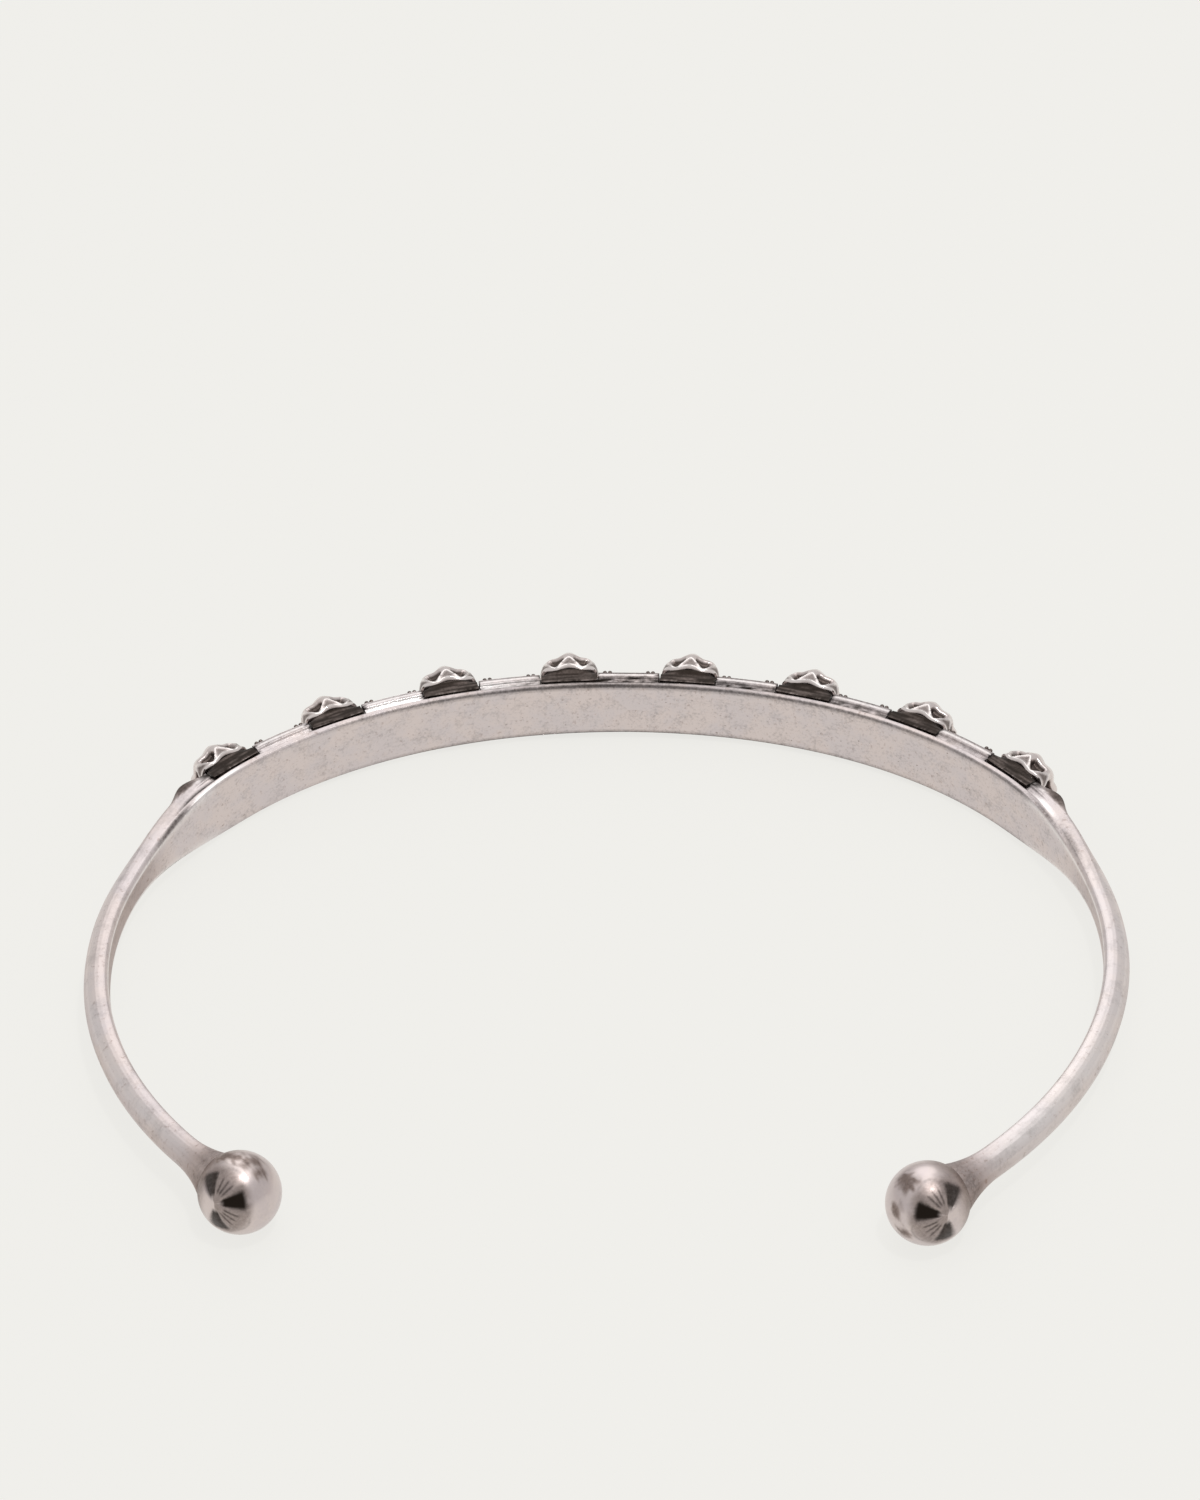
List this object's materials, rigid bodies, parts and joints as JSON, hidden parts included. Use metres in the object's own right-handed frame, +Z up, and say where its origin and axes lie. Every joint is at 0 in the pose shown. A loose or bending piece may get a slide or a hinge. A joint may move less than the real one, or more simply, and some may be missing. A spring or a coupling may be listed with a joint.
{
  "type": "open cuff bangle",
  "caption": "Slim open cuff bangle in oxidised silver: a row of flower-headed studs on the band, and plain wire arms that end in engraved balls.",
  "frame": {"origin": "on the surface that the bangle lies on, under the middle of its box", "axes": "+Z up, along the wrist's axis; +Y towards the studded band; +X along the width of the wrist opening"},
  "size_m": [0.0614, 0.0495, 0.0048],
  "materials": {
    "oxidised_silver": "satin silver, darkened in the recesses",
    "stud_silver": "cast silver, blackened collars and satin heads"
  },
  "bodies": {
    "root": {"cuff": "oxidised_silver", "stud_1": "stud_silver", "stud_2": "stud_silver", "stud_3": "stud_silver", "stud_4": "stud_silver", "stud_5": "stud_silver", "stud_6": "stud_silver", "stud_7": "stud_silver", "stud_8": "stud_silver"}
  },
  "joints": []
}
